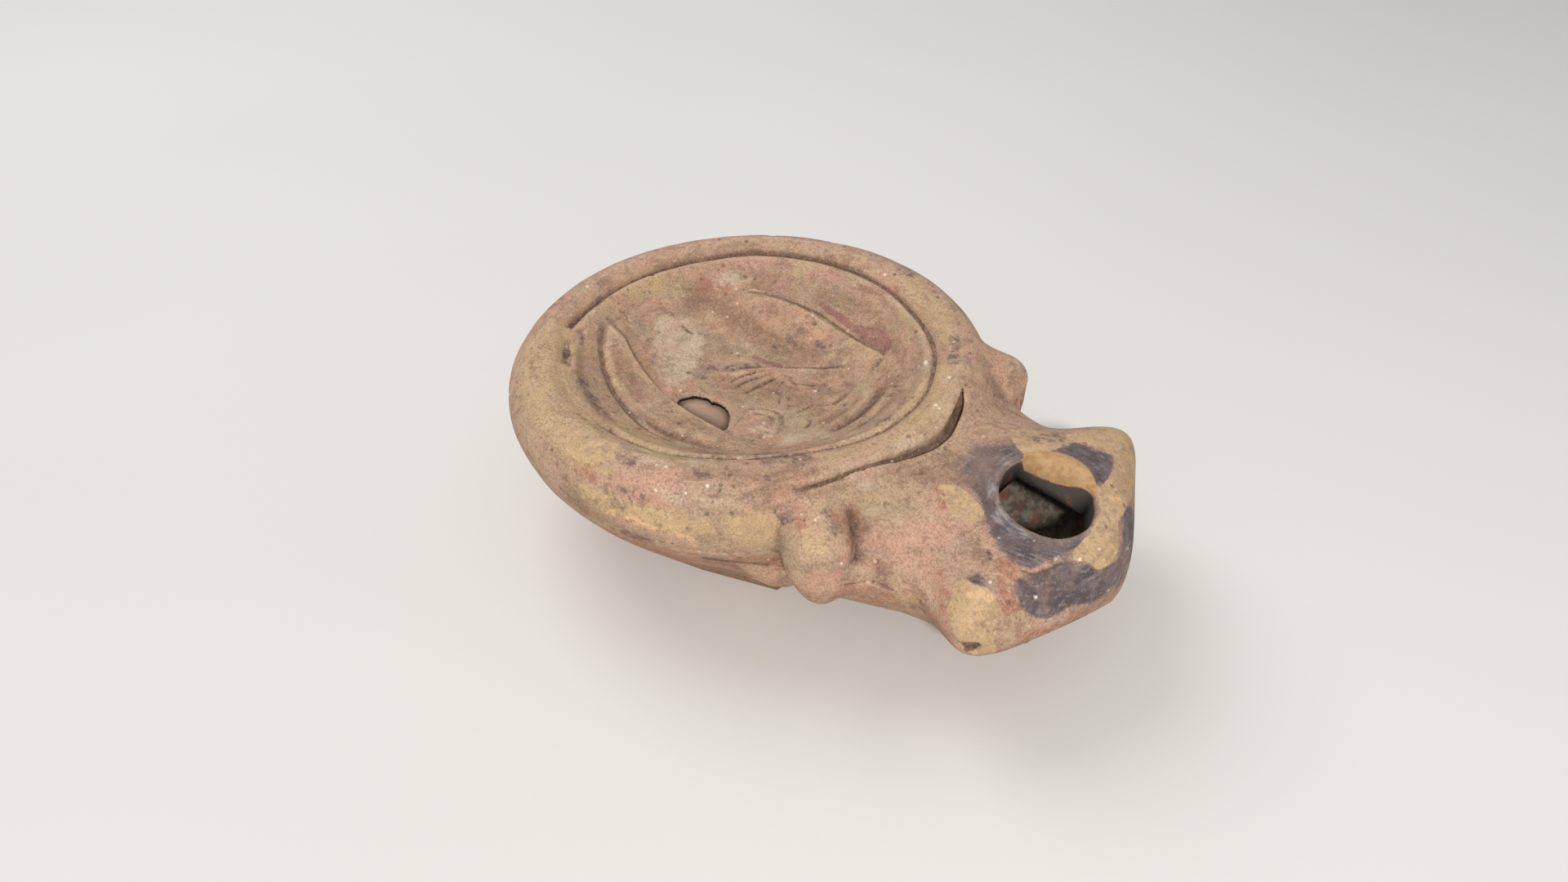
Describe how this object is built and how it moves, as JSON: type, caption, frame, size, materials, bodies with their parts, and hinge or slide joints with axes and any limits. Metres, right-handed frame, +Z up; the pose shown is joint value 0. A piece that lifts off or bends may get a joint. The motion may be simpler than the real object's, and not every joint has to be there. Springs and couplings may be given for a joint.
{
  "type": "roman oil lamp",
  "caption": "Small fired-clay oil lamp with a relief-decorated round top, a broken filling hole, two volute knobs and an angular nozzle with a round wick hole.",
  "frame": {"origin": "centre of the flat underside of the base, on the axis of the round body", "axes": "+X along the nozzle, towards its point; +Z up, out of the relief-decorated top; +Y to the left when looking along the nozzle"},
  "size_m": [0.0972, 0.072, 0.0264],
  "materials": {
    "fired_clay": "matte unglazed clay with worn slip and soot"
  },
  "bodies": {
    "root": {"lamp_body": "fired_clay"}
  },
  "joints": []
}
